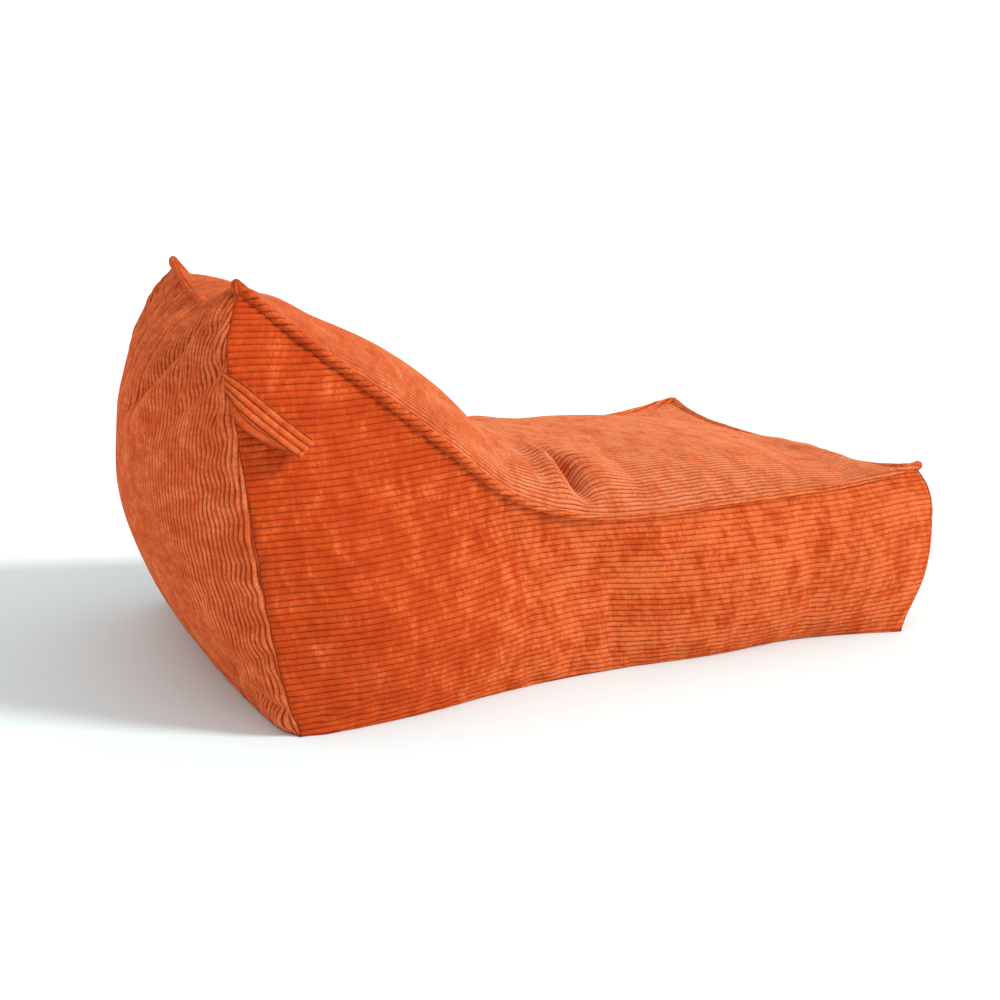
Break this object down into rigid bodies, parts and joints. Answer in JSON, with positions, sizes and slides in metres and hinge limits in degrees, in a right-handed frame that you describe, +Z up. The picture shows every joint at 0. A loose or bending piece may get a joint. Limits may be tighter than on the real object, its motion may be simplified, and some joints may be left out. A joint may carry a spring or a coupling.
{
  "type": "bean bag chair",
  "caption": "Bean bag lounger with a raised back, two pointed ears, a long low seat, a strap loop at one rear corner, a zipped base and a zipped liner full of beads.",
  "frame": {"origin": "centre of the flat underside, on the floor", "axes": "+X to the sitter's left, +Y from the foot to the back, +Z up"},
  "size_m": [0.817, 1.3162, 0.6275],
  "materials": {
    "corduroy": "matt wide-wale cotton corduroy with a soft nap",
    "corduroy_edge": "corduroy folded over and top-stitched",
    "strap": "folded corduroy strap",
    "base_cloth": "plain woven underside cloth",
    "zip_tape": "woven zip tape",
    "zip_coil": "dyed polyester coil",
    "zip_metal": "plain die-cast metal",
    "liner_cloth": "plain woven liner cloth",
    "liner_zip": "white nylon coil",
    "beads": "expanded polystyrene beads"
  },
  "bodies": {
    "chair": {"side_panel_right": "corduroy", "side_panel_left": "corduroy", "seat_back_panel": "corduroy", "back_panel": "corduroy", "foot_panel": "corduroy", "base_panel_front": "base_cloth", "base_panel_rear": "base_cloth", "seam_ridge_right": "corduroy_edge", "seam_ridge_left": "corduroy_edge", "seam_ridge_head": "corduroy_edge", "seam_ridge_foot": "corduroy_edge", "zip_tape_front": "zip_tape", "zip_tape_rear": "zip_tape", "zip_coil_front": "zip_coil", "zip_coil_rear": "zip_coil", "zip_end_stop_left": "zip_metal", "zip_end_stop_right": "zip_metal", "liner_wrap": "liner_cloth", "liner_side_right": "liner_cloth", "liner_side_left": "liner_cloth", "liner_zip_tape": "liner_cloth", "liner_zip_coil": "liner_zip", "bead_fill": "beads"},
    "handle": {"carry_handle": "strap"},
    "slider": {"zip_slider": "zip_metal"},
    "pull": {"zip_pull": "zip_metal"},
    "liner_slider": {"liner_zip_slider": "zip_metal"}
  },
  "joints": [
    {"name": "handle_swing", "type": "hinge", "parent": "chair", "child": "handle", "pos_m": [-0.37, 0.6195, 0.503], "axis": [0, 0, 1], "range_deg": [-140, 0]},
    {"name": "zip_travel", "type": "slide", "parent": "chair", "child": "slider", "axis": [-1, 0, 0], "range_m": [0, 0.6]},
    {"name": "pull_swing", "type": "hinge", "parent": "slider", "child": "pull", "pos_m": [0.32553, 0.33, 0.00115], "axis": [0, -1, 0], "range_deg": [0, 140]},
    {"name": "liner_zip_travel", "type": "slide", "parent": "chair", "child": "liner_slider", "axis": [-1, 0, 0], "range_m": [0, 0.38]}
  ]
}
